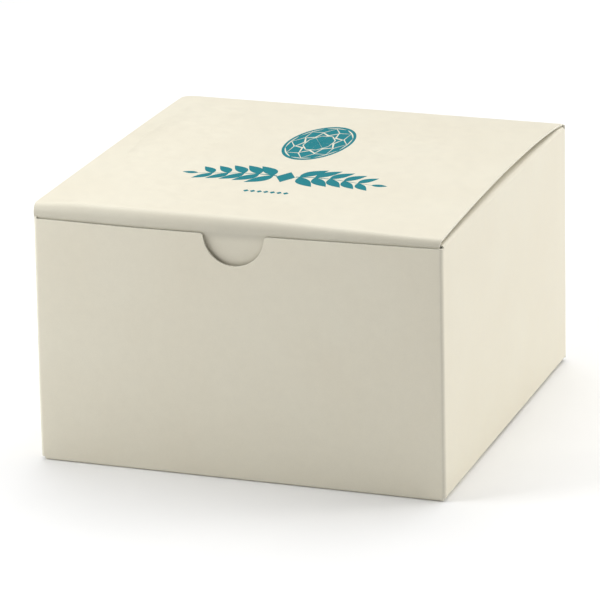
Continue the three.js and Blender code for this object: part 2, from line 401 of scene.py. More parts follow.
def spread(nodes, links, value, low, high, start=0.3, end=0.7):
    """Maps a value from start and end to a number between low and high."""
    node = nodes.new("ShaderNodeMapRange")
    node.inputs["From Min"].default_value = start
    node.inputs["From Max"].default_value = end
    node.inputs["To Min"].default_value = low
    node.inputs["To Max"].default_value = high
    links.new(value, node.inputs["Value"])
    return node.outputs["Result"]


def feed(links, value, socket):
    """Links an output to a socket, or sets the socket to a plain value."""
    if isinstance(value, bpy.types.NodeSocket):
        links.new(value, socket)
    else:
        socket.default_value = value


def mix(nodes, links, share, first, second, blend="MIX"):
    node = nodes.new("ShaderNodeMix")
    node.data_type = "RGBA"
    node.blend_type = blend
    feed(links, share, node.inputs["Factor"])
    feed(links, first, node.inputs["A"])
    feed(links, second, node.inputs["B"])
    return node.outputs["Result"]


def maths(nodes, links, operation, first, second):
    node = nodes.new("ShaderNodeMath")
    node.operation = operation
    feed(links, first, node.inputs[0])
    feed(links, second, node.inputs[1])
    return node.outputs["Value"]


def relief(nodes, links, shader, height, distance, strength):
    """Adds a bump to a shader, over any bump it has. The distance is its height in millimetres."""
    bump = nodes.new("ShaderNodeBump")
    bump.inputs["Strength"].default_value = strength
    bump.inputs["Distance"].default_value = distance * MM
    links.new(height, bump.inputs["Height"])
    if shader.inputs["Normal"].is_linked:
        links.new(shader.inputs["Normal"].links[0].from_socket, bump.inputs["Normal"])
    links.new(bump.outputs["Normal"], shader.inputs["Normal"])


def attribute(nodes, name, output):
    node = nodes.new("ShaderNodeAttribute")
    node.attribute_name = name
    return node.outputs[output]


def coated_board():
    """
    Ivory clay-coated face: satin and softly mottled, a little cracked and pale along the creases,
    and greyer with painted shade where the folded attribute is below zero.
    """
    material, nodes, links, shader = new_material("ivory_coated_board")
    place = attribute(nodes, "rest", "Vector")
    mottle = noise(nodes, links, place, 0.035, 3)
    cloud = noise(nodes, links, place, 0.3, 5)
    grain = noise(nodes, links, place, 4.5, 4, 0.6, (1, 1, 0.45))
    base = ramp(nodes, links, mottle, 0.3, 0.7, COATING_DARK, COATING_LIGHT)
    flecks = ramp(nodes, links, cloud, 0.3, 0.75, (0.955, 0.955, 0.955), (1, 1, 1))
    tone = mix(nodes, links, 0.6, base, flecks, "MULTIPLY")
    fibres = ramp(nodes, links, grain, 0.35, 0.6, (0.95, 0.945, 0.93), (1, 1, 1))
    tone = mix(nodes, links, 0.35, tone, fibres, "MULTIPLY")
    cracks = noise(nodes, links, place, 2.2, 6, 0.7)
    folded = attribute(nodes, "folded", "Fac")
    cracked = maths(nodes, links, "MAXIMUM", folded, 0.0)
    # Below zero the folded attribute gives painted shade: the greyer multiply stands in for shadow on
    # the tuck flap's roll.
    painted_shade = maths(nodes, links, "MAXIMUM", maths(nodes, links, "MULTIPLY", folded, -1.0), 0.0)
    tone = mix(nodes, links, painted_shade, tone, (0.77, 0.775, 0.78, 1), "MULTIPLY")
    worn = maths(nodes, links, "MULTIPLY", cracked, spread(nodes, links, cracks, 0.05, 0.55))
    tone = mix(nodes, links, worn, tone, (0.8, 0.765, 0.66, 1))
    links.new(tone, shader.inputs["Base Color"])
    gloss = spread(nodes, links, cloud, 0.4, 0.52)
    duller = maths(nodes, links, "MULTIPLY", worn, 0.25)
    links.new(maths(nodes, links, "ADD", gloss, duller), shader.inputs["Roughness"])
    shader.inputs["Specular IOR Level"].default_value = 0.42
    relief(nodes, links, shader, grain, 0.012, 0.55)
    relief(nodes, links, shader, cloud, 0.03, 0.35)
    relief(nodes, links, shader, maths(nodes, links, "MULTIPLY", worn, cracks), 0.05, 0.6)
    return material


def plain_board(name, dark, light, stretch=(1, 1, 1)):
    """Uncoated fibrous board: matt, with visible fibres and a felted surface."""
    material, nodes, links, shader = new_material(name)
    place = attribute(nodes, "rest", "Vector")
    fibre = noise(nodes, links, place, 3.0, 6, 0.7, stretch)
    cloud = noise(nodes, links, place, 0.25, 4)
    base = ramp(nodes, links, fibre, 0.3, 0.7, dark, light)
    shade = ramp(nodes, links, cloud, 0.3, 0.7, (0.95, 0.95, 0.95), (1, 1, 1))
    links.new(mix(nodes, links, 0.8, base, shade, "MULTIPLY"), shader.inputs["Base Color"])
    links.new(spread(nodes, links, fibre, 0.78, 0.92), shader.inputs["Roughness"])
    shader.inputs["Specular IOR Level"].default_value = 0.2
    relief(nodes, links, shader, fibre, 0.05, 0.7)
    return material


def two_faced_board():
    """For the flat CAD tabs: coated on the face that points down, plain elsewhere."""
    material, nodes, links, shader = new_material("flap_board")
    place = nodes.new("ShaderNodeTexCoord").outputs["Object"]
    facing = nodes.new("ShaderNodeSeparateXYZ")
    links.new(nodes.new("ShaderNodeNewGeometry").outputs["Normal"], facing.inputs["Vector"])
    below = spread(nodes, links, facing.outputs["Z"], 1, 0, -0.8, -0.6)
    cloud = noise(nodes, links, place, 0.3, 5)
    fibre = noise(nodes, links, place, 3.0, 6, 0.7)
    coat = ramp(nodes, links, cloud, 0.3, 0.7, COATING_DARK, COATING_LIGHT)
    bare = ramp(nodes, links, fibre, 0.3, 0.7, (0.74, 0.715, 0.64), (0.84, 0.82, 0.75))
    links.new(mix(nodes, links, below, bare, coat), shader.inputs["Base Color"])
    dull = spread(nodes, links, fibre, 0.8, 0.9)
    glossier = maths(nodes, links, "MULTIPLY", below, 0.4)
    links.new(maths(nodes, links, "SUBTRACT", dull, glossier), shader.inputs["Roughness"])
    shader.inputs["Specular IOR Level"].default_value = 0.35
    relief(nodes, links, shader, fibre, 0.03, 0.6)
    return material


def teal_ink():
    """Printed ink: even teal with a slightly grainy lay on the coating."""
    material, nodes, links, shader = new_material("teal_ink")
    place = nodes.new("ShaderNodeTexCoord").outputs["Object"]
    lay = noise(nodes, links, place, 5.0, 4, 0.65)
    cloud = noise(nodes, links, place, 0.4, 3)
    base = ramp(nodes, links, lay, 0.3, 0.65, (0.0, 0.185, 0.22), (0.002, 0.205, 0.24))
    shade = ramp(nodes, links, cloud, 0.3, 0.7, (0.92, 0.92, 0.92), (1, 1, 1))
    links.new(mix(nodes, links, 0.7, base, shade, "MULTIPLY"), shader.inputs["Base Color"])
    links.new(spread(nodes, links, lay, 0.5, 0.62), shader.inputs["Roughness"])
    shader.inputs["Specular IOR Level"].default_value = 0.15
    relief(nodes, links, shader, lay, 0.008, 0.5)
    return material


def dried_glue():
    """Dried adhesive film: glossy, uneven and slightly amber."""
    material, nodes, links, shader = new_material("dried_glue")
    place = nodes.new("ShaderNodeTexCoord").outputs["Object"]
    pool = noise(nodes, links, place, 0.5, 4)
    base = ramp(nodes, links, pool, 0.3, 0.7, (0.66, 0.6, 0.4), (0.78, 0.74, 0.58))
    links.new(base, shader.inputs["Base Color"])
    links.new(spread(nodes, links, pool, 0.2, 0.4), shader.inputs["Roughness"])
    relief(nodes, links, shader, pool, 0.03, 0.6)
    return material


COATED = coated_board()
INSIDE = plain_board("inner_board", (0.74, 0.715, 0.64), (0.85, 0.83, 0.765))
CUT_EDGE = plain_board("cut_edge_board", (0.72, 0.69, 0.58), (0.82, 0.8, 0.7), (1, 1, 2.5))
FLAP_BOARD = two_faced_board()
TEAL = teal_ink()
GLUE = dried_glue()
BOARD_LOOKS = (COATED, INSIDE, CUT_EDGE)


# Walls

def arc_points(centre, radius, start, end, steps):
    """Points on an arc, its ends left out."""
    angles = np.radians(np.linspace(start, end, steps + 1))[1:-1]
    return [(centre[0] + radius * math.cos(a), centre[1] + radius * math.sin(a)) for a in angles]


def line_points(start, end, steps):
    """Points on a straight stretch, both ends kept."""
    return [tuple(p) for p in np.linspace(start, end, steps + 1)]


def wall_path():
    """Plan of the wall board's middle, from the back wall's cut end round to the glued seam flap."""
    seam_y = SEAM_HIGH.y - HALF_BOARD
    seam_turn = seam_y - FOLD_RADIUS
    notch = NOTCH_RADIUS * np.sin(np.radians(np.linspace(NOTCH_SWEEP, -NOTCH_SWEEP, 21)))
    lip = NOTCH_RADIUS + NOTCH_LIP * (1 - np.cos(np.radians(np.linspace(0, 90, 6))))
    gap = np.concatenate([lip, np.linspace(lip[-1], FLAT_END, 18)[1:]])
    front_x = np.concatenate([gap[::-1], notch, -gap])
    parts = [
        ("back", line_points((-HALF_OUT, HALF_MID), (-FLAT_END, HALF_MID), 1)),
        ("back_flat", line_points((-FLAT_END, HALF_MID), (FLAT_END, HALF_MID), 24)[1:]),
        ("fold", arc_points((FLAT_END, FLAT_END), FOLD_RADIUS, 90, 0, FOLD_STEPS)),
        ("side_flat", line_points((HALF_MID, FLAT_END), (HALF_MID, -FLAT_END), 24)),
        ("fold", arc_points((FLAT_END, -FLAT_END), FOLD_RADIUS, 0, -90, FOLD_STEPS)),
        ("front", [(x, -HALF_MID) for x in front_x]),
        ("fold", arc_points((-FLAT_END, -FLAT_END), FOLD_RADIUS, 270, 180, FOLD_STEPS)),
        ("side_flat", line_points((-HALF_MID, -FLAT_END), (-HALF_MID, seam_turn), 24)),
        ("fold", arc_points((-FLAT_END, seam_turn), FOLD_RADIUS, 180, 90, FOLD_STEPS)),
        ("seam", line_points((-FLAT_END, seam_y), (SEAM_HIGH.x, seam_y), 10)),
    ]
    return [(kind, p) for kind, stretch in parts for p in stretch]


def corner_top(x, y):
    """Height of the walls' cut tops beside the flaps."""
    back = smooth(-FLAT_END, FLAT_END, y)
    right = np.asarray(x) > 0
    top_front = np.where(right, RIGHT_TOP_FRONT, LEFT_TOP_FRONT)
    top_back = np.where(right, RIGHT_TOP_BACK, LEFT_TOP_BACK)
    return top_front * (1 - back) + top_back * back


def seam_inset(x):
    """How far the seam flap's ends are cut back, more towards its free edge."""
    return SEAM_TAPER * float(smooth(-FLAT_END, SEAM_HIGH.x, x)) + SEAM_END


def wall_top(kind, x, y):
    """Height of the wall board's upper end at a point of its plan."""
    touch = 0.01
    if kind == "front":
        edge = float(front_top(np.array(x)))
        beyond = abs(x) - NOTCH_RADIUS
        if beyond >= NOTCH_LIP:
            return edge
        if beyond >= 0:
            return edge - NOTCH_LIP + math.sqrt(NOTCH_LIP**2 - (NOTCH_LIP - beyond) ** 2)
        return edge - max(NOTCH_LIP, math.sqrt(NOTCH_RADIUS**2 - x * x))
    if kind == "seam":
        return SEAM_HIGH.z - seam_inset(x)
    if kind == "fold" and min(x, y) > FLAT_END - touch:
        return LID_BACK - HINGE_CORNER_DROP
    return float(corner_top(x, y))


def wall_bottom(kind, x):
    """Height of the wall board's lower end at a point of its plan."""
    return SEAM_LOW.z + seam_inset(x) if kind == "seam" else WALL_FOOT


def make_walls():
    """The four walls and the seam flap as one folded board."""
    path = wall_path()
    low_rows = 3
    main_rows = 28
    high_rows = 4
    columns = []
    for kind, (x, y) in path:
        bottom = float(wall_bottom(kind, x))
        top = float(wall_top(kind, x, y))
        lower = SPLIT_LOW if kind != "seam" else bottom + 2
        upper = min(SPLIT_HIGH, top - 2)
        z = np.concatenate([
            np.linspace(bottom, lower, low_rows),
            np.linspace(lower, upper, main_rows)[1:],
            np.linspace(upper, top, high_rows)[1:],
        ])
        columns.append([(x, y, height) for height in z])
    points = np.array(columns).transpose(1, 0, 2)
    kinds = [kind for kind, _ in path]
    rows = points.shape[0]
    mask = np.ones((rows - 1, len(kinds) - 1), bool)
    butt = np.zeros(points.shape[:2], bool)
    first_high = low_rows + main_rows - 2
    for j in range(len(kinds) - 1):
        pair = {kinds[j], kinds[j + 1]}
        carries_flap = kinds[j + 1] == "back_flat" or pair == {"side_flat"}
        if carries_flap:
            mask[first_high:, j] = False
            butt[first_high, j : j + 2] = True
            butt[first_high:-1, [j, j + 1]] = True
        if carries_flap or pair == {"front"}:
            mask[: low_rows - 1, j] = False
            butt[low_rows - 1, j : j + 2] = True
            butt[1:low_rows, [j, j + 1]] = True
    crease = np.array([[1.0 if kind == "fold" else 0.0 for kind in kinds]] * rows)
    piece = board("walls", lean(points), BOARD_LOOKS, mask, butt, crease, flip=True)
    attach(piece, "carton")
    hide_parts("front_wall", "back_wall", "left_wall", "right_wall", "side_seam_flap")


# Lid, tuck flap and dust flaps

def with_ends(across, wide):
    """
    Adds two columns beyond each end of a row. Where the row is wide, as on a wall, they reach the
    corners' folds, and elsewhere they lie beside the row and are masked out.
    """
    first, last = across[0], across[-1]
    if wide:
        before = np.linspace(-FLAT_END, first, 3)[:-1]
        after = np.linspace(last, FLAT_END, 3)[1:]
    else:
        before = first - np.array([0.02, 0.01])
        after = last + np.array([0.01, 0.02])
    return np.concatenate([before, across, after])


def beside_masked(kinds, points):
    """
    Cell mask and butt flags of a board that goes on from a wall: the columns of with_ends are
    board on the wall's rows only, where they meet the walls' board.
    """
    wall_rows = kinds.count("wall")
    mask = np.ones((points.shape[0] - 1, points.shape[1] - 1), bool)
    mask[wall_rows - 1 :, :2] = False
    mask[wall_rows - 1 :, -2:] = False
    butt = np.zeros(points.shape[:2], bool)
    butt[0, :] = True
    butt[: wall_rows - 1, [0, -1]] = True
    return mask, butt


def cracked(kinds, points):
    """Crease strengths of a board whose rows of the kind turn are its fold."""
    return np.array([[1.0 if kind == "turn" else 0.0] * points.shape[1] for kind in kinds])


def make_lid():
    """The top of the back wall, the hinge crease and the lid panel as one board."""
    turn_z = LID_BACK - HALF_BOARD - HINGE_RADIUS
    turn_y = HALF_MID - HINGE_RADIUS
    inner = np.linspace(0, 1, 41)
    span = turn_y - JOIN_Y
    corner_steps = np.concatenate([
        LID_CORNER_RIGHT * (1 - np.cos(np.linspace(0, math.pi / 2, 6)[1:])),
        LID_CORNER_LEFT * (1 - np.cos(np.linspace(0, math.pi / 2, 9)[1:])),
    ])
    lid_steps = np.concatenate([np.sort(corner_steps), np.linspace(LID_CORNER_LEFT, span, 34)[1:]])
    rows, kinds = [], []
    for z in np.linspace(SPLIT_HIGH, turn_z, 5):
        rows.append(("wall", HALF_MID, z, 0))
    for angle in np.radians(np.linspace(0, 90, 9)[1:]):
        y = turn_y + HINGE_RADIUS * math.cos(angle)
        rows.append(("turn", y, turn_z + HINGE_RADIUS * math.sin(angle), 0))
    for step in lid_steps:
        rows.append(("lid", turn_y - step, None, step))

    def half_width(corner, step):
        """Half width of the lid beside a rounded back corner."""
        d = min(step, corner)
        return min(LID_HALF, LID_HALF - corner + math.sqrt(max(corner**2 - (corner - d) ** 2, 0)))

    grid = []
    for kind, y, z, step in rows:
        left = -half_width(LID_CORNER_LEFT, step)
        right = half_width(LID_CORNER_RIGHT, step)
        right -= float(edge_bow(y)) if kind == "lid" else 0
        x = with_ends(left + (right - left) * inner, kind == "wall")
        level = np.full_like(x, y)
        height = lid_top(x, level) - HALF_BOARD if kind == "lid" else np.full_like(x, z)
        grid.append(np.stack([x, level, height], -1))
        kinds.append(kind)
    points = np.array(grid)
    mask, butt = beside_masked(kinds, points)
    butt[-1, :] = True
    crease = cracked(kinds, points)
    piece = board("lid", points, BOARD_LOOKS, mask, butt, crease, flip=True)
    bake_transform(piece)
    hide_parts("lid_panel", "lid_crease")


def make_tuck_flap():
    """The rolled front of the lid and the flap that hangs inside the front wall."""
    straight = TUCK_HIGH.z - TUCK_LOW.z - ROLL_HEIGHT
    distances = tip_rows(straight, TUCK_CORNER, 14)
    half_flap = TUCK_HIGH.x
    inner = np.linspace(-1, 1, 61)

    def level(x):
        """Height of the board's middle where the roll starts."""
        return lid_top(x, np.full_like(x, ROLL_FRONT)) - HALF_BOARD

    def span_at(y, share):
        """The x values of a row: the lid's own width first, the flap's at the end of the roll."""
        lid_right = LID_HALF - float(edge_bow(y))
        right = lid_right + (half_flap - lid_right) * share
        left = -LID_HALF + (LID_HALF - half_flap) * share
        return (left + right) / 2 + (right - left) / 2 * inner

    # Painted shade for each row, zero or below: none where the roll joins the lid, deepening over the
    # roll and the top of the flap.
    painted_shades, grid = [], []
    for share in (0, 0.3, 0.6, 0.85, 1):
        painted_shades.append(0.0)
        x = span_at(JOIN_Y + (ROLL_FRONT - JOIN_Y) * share, 0)
        start = ROLL_FRONT + roll_radius(x)
        y = JOIN_Y + (start - JOIN_Y) * share
        grid.append(np.stack([x, y, lid_top(x, y) - HALF_BOARD], -1))
    for share in np.linspace(0, 1, ROLL_STEPS + 1)[1:]:
        angle = share * ROLL_SWEEP
        painted_shades.append(-(share**1.2))
        x = span_at(ROLL_FRONT, share)
        outer = roll_radius(x)
        middle = outer - HALF_BOARD
        y = ROLL_FRONT + outer - middle * math.sin(angle)
        grid.append(np.stack([x, y, level(x) - middle * (1 - math.cos(angle))], -1))
    # Past the roll the flap still leans inwards, and straightens over a few millimetres.
    steep = ROLL_SWEEP - math.pi / 2
    fine = np.linspace(0, straight, 400)
    lean_in = TUCK_TILT + (steep - TUCK_TILT) * (1 - smooth(0, TUCK_STRAIGHTENS, fine))
    drift = np.concatenate([[0], np.cumsum(np.sin(lean_in[:-1]) * fine[1])])
    drop = np.concatenate([[0], np.cumsum(np.cos(lean_in[:-1]) * fine[1])])
    for d in distances[1:]:
        # Painted shade, deepest at the roll's end and none past the notch's depth, standing in for the
        # shadow where the board turns in behind the front wall.
        painted_shades.append(-0.3 - 0.7 * (1 - float(smooth(0, 3, d))) + 0.3 * float(smooth(8, 14, d)))
        x = float(rounded_limit(d, straight, TUCK_CORNER, half_flap, TUCK_TAPER / straight)) * inner
        outer = roll_radius(x)
        middle = outer - HALF_BOARD
        y = ROLL_FRONT + outer - middle * math.sin(ROLL_SWEEP) + float(np.interp(d, fine, drift))
        top = level(x) - middle * (1 - math.cos(ROLL_SWEEP))
        # The flap straightens the lid's wave towards its own free end.
        top = top + (top.mean() - top) * smooth(0, straight, d)
        grid.append(np.stack([x, y, top - float(np.interp(d, fine, drop))], -1))
    points = np.array(grid)
    butt = np.zeros(points.shape[:2], bool)
    butt[0, :] = True
    # The flap's crease values carry only painted shade, all at or below zero.
    crease = np.array([[shade_level] * points.shape[1] for shade_level in painted_shades])
    piece = board("tuck_flap_board", points, BOARD_LOOKS, None, butt, crease, flip=True)
    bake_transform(piece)
    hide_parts("tuck_flap", "tuck_crease")


def dust_section(y, steps):
    """
    Heights and distances of a right dust flap at one depth: (x, z) of its middle from the wall's
    split line, over the roll, and under the lid to the flap's tip.
    """
    middle = float(smooth(-FLAT_END, -5, y) * smooth(FLAT_END, 5, y))
    radius = DUST_RADIUS_END + DUST_RADIUS_RISE * middle
    sink = 0.1 + DUST_SAG * middle + DUST_BACK_DROP * float(smooth(56, 62, y))
    start = float(corner_top(HALF_MID, y)) - sink
    lift = math.radians(DUST_LIFT_END + DUST_LIFT_RISE * middle)
    sweep = math.pi / 2 - lift
    section = [(HALF_MID, z) for z in np.linspace(SPLIT_HIGH, start, DUST_WALL_ROWS)]
    for share in np.linspace(0, 1, DUST_TURN_ROWS + 1)[1:]:
        angle = sweep * share
        section.append((HALF_MID - radius * (1 - math.cos(angle)), start + radius * math.sin(angle)))
    x_end, z_end = section[-1]
    for d in steps[1:]:
        x = x_end - d
        below = BOARD + HALF_BOARD + DUST_CLEARANCE + DUST_SAG * float(smooth(0, 40, d))
        under = float(lid_top(x, y)) - below
        straight = z_end + d * math.tan(lift)
        soft = 0.25
        # The lower of the two, with a soft change from one to the other.
        lower = (straight + under - math.sqrt((straight - under) ** 2 + soft**2)) / 2
        section.append((x, lower))
    return section


def make_dust_flap(side, sign):
    """The top of a side wall, its crease and the dust flap as one board."""
    length = DUST_HIGH.x - DUST_LOW.x - 0.6
    steps = tip_rows(length, DUST_CORNER, 26)
    inner = np.linspace(0, 1, 49)
    kinds = ["wall"] * DUST_WALL_ROWS + ["turn"] * DUST_TURN_ROWS + ["flap"] * (len(steps) - 1)
    grid = []
    for row, kind in enumerate(kinds):
        d = steps[max(0, row - DUST_WALL_ROWS - DUST_TURN_ROWS + 1)]
        wider = float(1 - smooth(0, DUST_REACH_LENGTH, d))
        y_front = -float(rounded_limit(d, length, DUST_CORNER, -DUST_LOW.y, 0.0))
        y_front -= DUST_REACH_FRONT * wider
        y_back = float(rounded_limit(d, length, DUST_CORNER, DUST_HIGH.y, DUST_SLOPE))
        y_back = min(y_back + DUST_REACH_BACK * wider, FLAT_END - 0.3)
        line = []
        for y in with_ends(y_front + (y_back - y_front) * inner, kind == "wall"):
            x, z = dust_section(y, steps)[row]
            line.append((sign * x, y, z))
        grid.append(line)
    points = np.array(grid)
    mask, butt = beside_masked(kinds, points)
    crease = cracked(kinds, points)
    name = f"dust_flap_board_{side}"
    piece = board(name, lean(points), BOARD_LOOKS, mask, butt, crease, flip=sign < 0)
    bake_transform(piece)
    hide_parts(f"dust_flap_{side}", f"dust_crease_{side}")


# Bottom

def foot_rows(level):
    """(distance in from the wall's middle, height) from the wall's foot round its bottom fold."""
    centre = level + FOLD_RADIUS
    rows = [(0.0, z) for z in np.linspace(SPLIT_LOW, centre, 3)]
    for angle in np.radians(np.linspace(0, 90, FOLD_STEPS)[1:]):
        rows.append((FOLD_RADIUS * (1 - math.cos(angle)), centre - FOLD_RADIUS * math.sin(angle)))
    return rows


def quarter_turned(points, turns):
    """Points turned about +Z by quarter turns."""
    angle = turns * math.pi / 2
    c, s = round(math.cos(angle)), round(math.sin(angle))
    turned = points.copy()
    turned[..., 0] = c * points[..., 0] - s * points[..., 1]
    turned[..., 1] = s * points[..., 0] + c * points[..., 1]
    return turned


def make_major_flap(end, turns):
    """A large bottom flap with its hooked tongue, folded off the front or back wall."""
    level = MAJOR_LOW.z + HALF_BOARD
    side = MAJOR_HIGH.x
    far_left = 0.25 - side
    ramp_foot = -HOOK_GAP - TONGUE_RAMP
    tip_start = TONGUE_REACH - TONGUE_CORNER
    upper = MINOR_LOW.z + HALF_BOARD
    flap_y = list(np.linspace(-FLAT_END, TONGUE_SIDE - 0.4, 16)[1:])
    flap_y += [TONGUE_SIDE + 0.2, -12, ramp_foot, -HOOK_GAP]
    flap_y += list(tip_start + TONGUE_CORNER * np.sin(np.linspace(0, math.pi / 2, 7)))
    line_a = np.linspace(0, 1, 25)
    line_b = line_a[1:]
    grid, kinds = [], []
    for inset, z in foot_rows(level):
        left = far_left
        x = np.concatenate([left + (-HOOK_GAP - left) * line_a, side * line_b])
        x[0] = -FLAT_END if inset == 0 else left
        x[-1] = FLAT_END if inset == 0 else side
        grid.append([(v, -HALF_MID + inset, z) for v in x])
        kinds.append("foot" if inset == 0 else "turn")
    for y in flap_y:
        left = max(y + 0.25, TONGUE_SIDE, far_left)
        right = side - 2 * float(smooth(-HALF_MID / 2, -HOOK_GAP, y))
        inner_right = -HOOK_GAP
        if y > tip_start:
            arc = math.sqrt(max(TONGUE_CORNER**2 - (y - tip_start) ** 2, 0))
            left += TONGUE_CORNER - arc
            inner_right -= TONGUE_CORNER - arc
        line = left + (inner_right - left) * line_a
        x = np.concatenate([line, inner_right + (right - inner_right) * line_b])
        share = float(np.clip((y - ramp_foot) / TONGUE_RAMP, 0, 1))
        z = np.where(x <= inner_right + 1e-9, level + (upper - level) * share, level)
        grid.append([(v, y, h) for v, h in zip(x, z)])
        if y < ramp_foot - 0.01:
            kinds.append("flap")
        else:
            kinds.append("tongue" if y > -HOOK_GAP - 0.01 else "ramp")
    points = np.array(grid)
    mask = np.ones((points.shape[0] - 1, points.shape[1] - 1), bool)
    last = len(line_a) - 1
    for i in range(points.shape[0] - 1):
        if kinds[i] == "ramp":
            mask[i, last] = False
        if kinds[i] == "tongue":
            mask[i, last:] = False
    butt = np.zeros(points.shape[:2], bool)
    butt[0, :] = True
    butt[:2, [0, -1]] = True
    crease = cracked(kinds, points)
    points = quarter_turned(points, turns)
    piece = board(f"large_bottom_flap_{end}", points, BOARD_LOOKS, mask, butt, crease, flip=True)
    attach(piece, "carton")
    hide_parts(f"bottom_flap_{end}")


def make_minor_flap(side, turns):
    """A small bottom flap, folded off a side wall on to the large flaps."""
    level = MINOR_LOW.z + HALF_BOARD
    length = MINOR_HIGH.x - MINOR_LOW.x - 0.4
    slope = MINOR_TAPER / length
    steps = tip_rows(length, MINOR_CORNER, 10)
    line = np.linspace(-1, 1, 25)
    grid, kinds = [], []
    for inset, z in foot_rows(level):
        half = FLAT_END - MINOR_INSET * min(1, inset / FOLD_RADIUS)
        grid.append([(half * v, -HALF_MID + inset, z) for v in line])
        kinds.append("foot" if inset == 0 else "turn")
    for d in steps[1:]:
        half = float(rounded_limit(d, length, MINOR_CORNER, FLAT_END - MINOR_INSET, slope))
        grid.append([(half * v, -FLAT_END + d, level) for v in line])
        kinds.append("flap")
    points = quarter_turned(np.array(grid), turns)
    butt = np.zeros(points.shape[:2], bool)
    butt[0, :] = True
    butt[:2, [0, -1]] = True
    crease = cracked(kinds, points)
    piece = board(f"small_bottom_flap_{side}", points, BOARD_LOOKS, None, butt, crease, flip=True)
    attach(piece, "carton")
    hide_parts(f"bottom_flap_{side}")


def finish_cad_nodes():
    """The glue tabs and films keep their CAD shape: chamfers on the tabs, and their own materials."""
    for name in ("bottom_glue_tab_front", "bottom_glue_tab_back"):
        node = frame["nodes"][name]
        node.data.materials.clear()
        node.data.materials.append(FLAP_BOARD)
        bevel = node.modifiers.new("cut_edge", "BEVEL")
        bevel.width = CUT_CHAMFER * MM
        bevel.segments = 1
        bevel.limit_method = "ANGLE"
    for name in ("side_seam_glue", "bottom_glue_left", "bottom_glue_right"):
        node = frame["nodes"][name]
        node.data.materials.clear()
        node.data.materials.append(GLUE)


# Printed ornament: a cut stone over a sprig of leaves, of no particular maker

INK_ABOVE = 0.03
INK_BELOW = 0.02


def print_patches(name, patches):
    """One closed film of ink for each patch, a grid of (x, y) on the lid, draped over the lid."""
    vertices, faces = [], []
    for patch in patches:
        rows, columns = patch.shape[:2]
        height = lid_top(patch[..., 0], patch[..., 1])
        base = len(vertices)
        for level in (INK_ABOVE, -INK_BELOW):
            for i in range(rows):
                for j in range(columns):
                    vertices.append((patch[i, j, 0], patch[i, j, 1], height[i, j] + level))

        def at(i, j, layer):
            return base + layer * rows * columns + i * columns + j

        for i in range(rows - 1):
            for j in range(columns - 1):
                ring = [(i, j), (i, j + 1), (i + 1, j + 1), (i + 1, j)]
                faces.append([at(*p, 0) for p in ring])
                faces.append([at(*p, 1) for p in reversed(ring)])
        border = [(0, j) for j in range(columns)]
        border += [(i, columns - 1) for i in range(1, rows)]
        border += [(rows - 1, j) for j in range(columns - 2, -1, -1)]
        border += [(i, 0) for i in range(rows - 2, 0, -1)]
        for a, b in zip(border, border[1:] + border[:1]):
            faces.append([at(*b, 0), at(*a, 0), at(*a, 1), at(*b, 1)])
    mesh = bpy.data.meshes.new(name)
    mesh.from_pydata([tuple(Vector(v) * MM) for v in vertices], [], faces)
    mesh.materials.append(TEAL)
    mesh.validate()
    mesh.update()
    piece = bpy.data.objects.new(name, mesh)
    bpy.context.scene.collection.objects.link(piece)
    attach(piece, "lid")


def quad_patch(corners, inset, steps=4):
    """A four-sided patch through its corners in anticlockwise order, drawn in by an inset."""
    corners = np.array(corners, float)
    centre = corners.mean(0)
    size = np.linalg.norm(corners - centre, axis=1, keepdims=True)
    corners = centre + (corners - centre) * np.maximum(size - inset, 0.05) / size
    u = np.linspace(0, 1, steps + 1)[None, :, None]
    v = np.linspace(0, 1, steps + 1)[:, None, None]
    a, b, c, d = corners
    return (1 - v) * ((1 - u) * a + u * b) + v * ((1 - u) * d + u * c)


def lozenge(x, y, half_width, half_depth, steps=4):
    corners = [(x - half_width, y), (x, y - half_depth), (x + half_width, y), (x, y + half_depth)]
    return quad_patch(corners, 0, steps)


def leaf_patch(root, angle, length, width, bend):
    """A pointed leaf from its root, with a slightly bent midrib."""
    along = np.linspace(0, 1, 13)
    half = width / 2 * np.sin(np.pi * along**0.85) + 0.02
    side = np.array([-1.0, 1.0])
    midrib = bend * length * along * (1 - along) * 2
    local_x = along[:, None] * length * np.ones(2)
    local_y = side * half[:, None] + midrib[:, None]
    c, s = math.cos(angle), math.sin(angle)
    x = root[0] + c * local_x - s * local_y
    y = root[1] + s * local_x + c * local_y
    return np.stack([x, y], -1).transpose(1, 0, 2)


def stone_ornament(centre, half_width, half_depth):
    """A brilliant-cut oval stone seen from above: table, kite facets, girdle facets and a rim."""
    def at(turn, radius):
        angle = 2 * math.pi * turn
        x = centre[0] + half_width * radius * math.cos(angle)
        y = centre[1] + half_depth * radius * math.sin(angle)
        return (x, y)

    patches = []
    count = 8
    line = 0.17
    for k in range(count):
        here = k / count
        middle = (k + 0.5) / count
        there = (k + 1) / count
        table = [centre, at(here, 0.42), at(middle, 0.455), at(there, 0.42)]
        star = [at(here, 0.45), at(middle, 0.66), at(there, 0.45), at(middle, 0.48)]
        kite = [at(middle - 1 / count, 0.7), at(here, 0.5), at(middle, 0.7), at(here, 0.93)]
        girdle = [at(here, 0.94), at(middle, 0.72), at(there, 0.94), at(middle, 0.985)]
        patches.append(quad_patch(table, line / 2))
        for facet in (star, kite, girdle):
            patches.append(quad_patch(facet, line))
    turns = np.linspace(0, 1, 65)
    ring = np.array([[at(t, 0.975) for t in turns], [at(t, 1.06) for t in turns]])
    for start in range(0, 64, 16):
        patches.append(ring[:, start : start + 17])
    return patches


